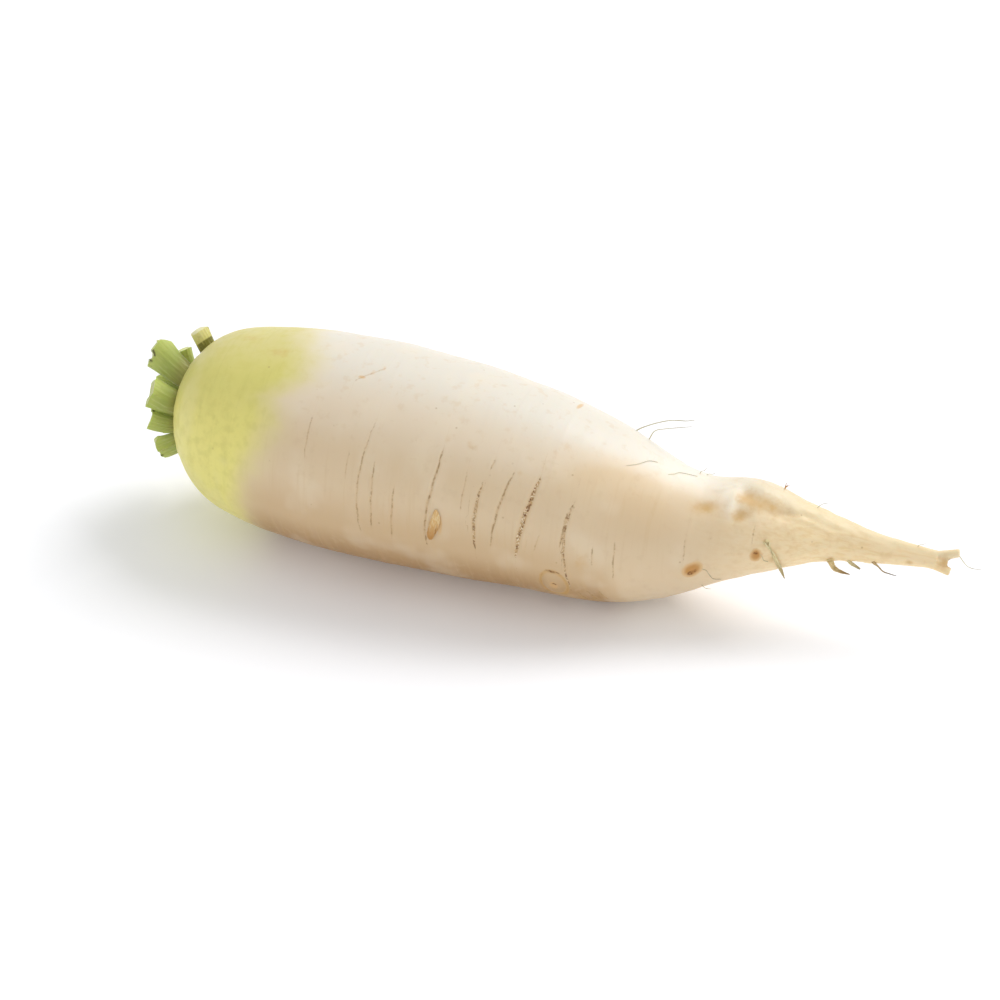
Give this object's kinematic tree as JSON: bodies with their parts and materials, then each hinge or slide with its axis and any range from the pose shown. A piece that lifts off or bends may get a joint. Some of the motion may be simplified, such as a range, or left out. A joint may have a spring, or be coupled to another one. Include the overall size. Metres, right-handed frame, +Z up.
{
  "type": "daikon radish",
  "caption": "Whole daikon radish lying on its side: white taproot with a yellow-green shoulder, trimmed leaf stalks at the crown, side roots and a forked tail",
  "frame": {"origin": "middle of the radish's box in plan, on the surface that it lies on", "axes": "+X runs along the root from the crown to the tip, +Z is up as it lies, -Y is the side in view"},
  "size_m": [0.3127, 0.085, 0.0818],
  "materials": {
    "root_skin": "satin",
    "stalk_green": "satin",
    "stalk_pale": "satin",
    "side_root_straw": "matte"
  },
  "bodies": {
    "root": {"taproot": "root_skin", "outer_stalk_1": "stalk_green", "outer_stalk_2": "stalk_green", "outer_stalk_3": "stalk_green", "outer_stalk_4": "stalk_green", "outer_stalk_5": "stalk_green", "outer_stalk_6": "stalk_green", "outer_stalk_7": "stalk_green", "outer_stalk_8": "stalk_green", "outer_stalk_9": "stalk_green", "inner_stalk_1": "stalk_green", "inner_stalk_2": "stalk_green", "inner_stalk_3": "stalk_green", "inner_stalk_4": "stalk_green", "inner_stalk_5": "stalk_green", "heart_stalk_1": "stalk_pale", "heart_stalk_2": "stalk_pale", "heart_stalk_3": "stalk_pale", "old_stalk_stub": "stalk_pale", "side_root_1": "side_root_straw", "side_root_2": "side_root_straw", "side_root_3": "side_root_straw", "side_root_4": "side_root_straw", "side_root_5": "side_root_straw", "side_root_6": "side_root_straw", "side_root_7": "side_root_straw", "side_root_8": "side_root_straw"}
  },
  "joints": []
}
